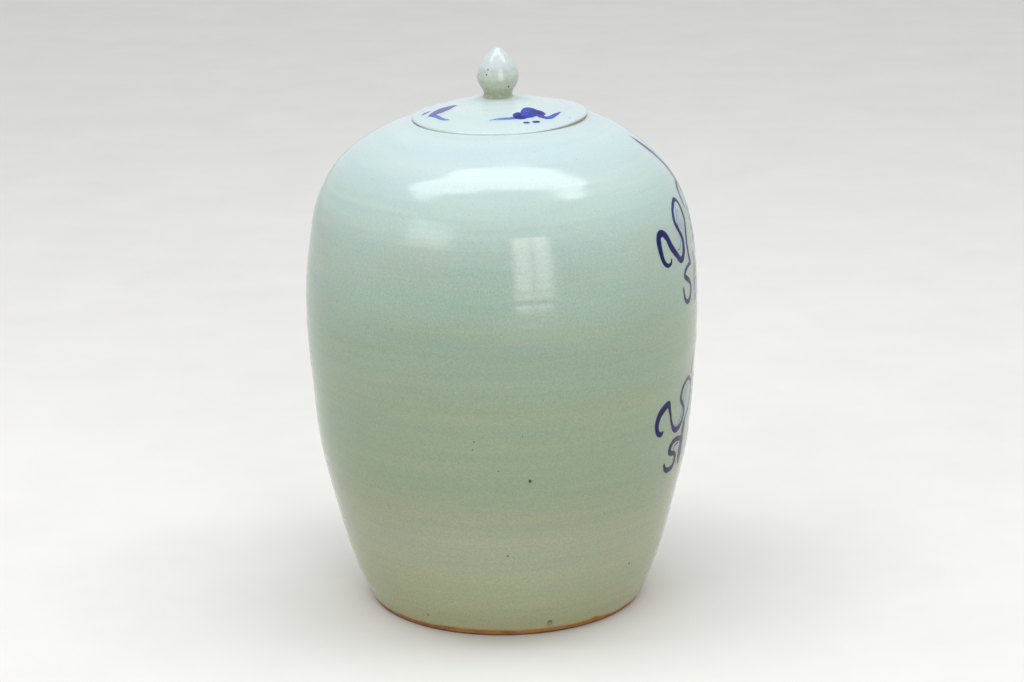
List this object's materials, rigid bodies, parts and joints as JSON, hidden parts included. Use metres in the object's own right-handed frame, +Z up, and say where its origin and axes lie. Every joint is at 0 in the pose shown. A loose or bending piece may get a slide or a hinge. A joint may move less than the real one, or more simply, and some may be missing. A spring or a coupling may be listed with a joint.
{
  "type": "lidded ginger jar",
  "caption": "Tall melon-shaped celadon ginger jar with a rounded shoulder, a shallow domed lid that lifts off and a bud finial.",
  "frame": {"origin": "centre of the foot ring, on the plane the jar stands on", "axes": "+Z up along the jar's axis of turning; the painted side faces +X"},
  "size_m": [0.254, 0.254, 0.3664],
  "materials": {
    "biscuit": "bare fired stoneware, matt, warm buff with iron-brown blushes",
    "bare_foot": "bare fired stoneware, matt, iron-brown and worn where it stands",
    "celadon": "glossy pale blue-green celadon glaze with painted underglaze cobalt",
    "inner_celadon": "thin, slightly uneven pale celadon glaze"
  },
  "bodies": {
    "jar": {"lower_body": "biscuit", "upper_body": "biscuit", "foot_ring": "bare_foot", "mouth_ring": "biscuit", "outer_glaze": "celadon", "inner_glaze": "inner_celadon", "base_glaze": "inner_celadon"},
    "lid": {"lid_plate": "biscuit", "lid_flange": "biscuit", "finial": "biscuit", "lid_glaze": "celadon", "finial_glaze": "celadon"}
  },
  "joints": [
    {"name": "lid_lift", "type": "slide", "parent": "jar", "child": "lid", "axis": [0, 0, 1], "range_m": [0, 0.16]}
  ]
}
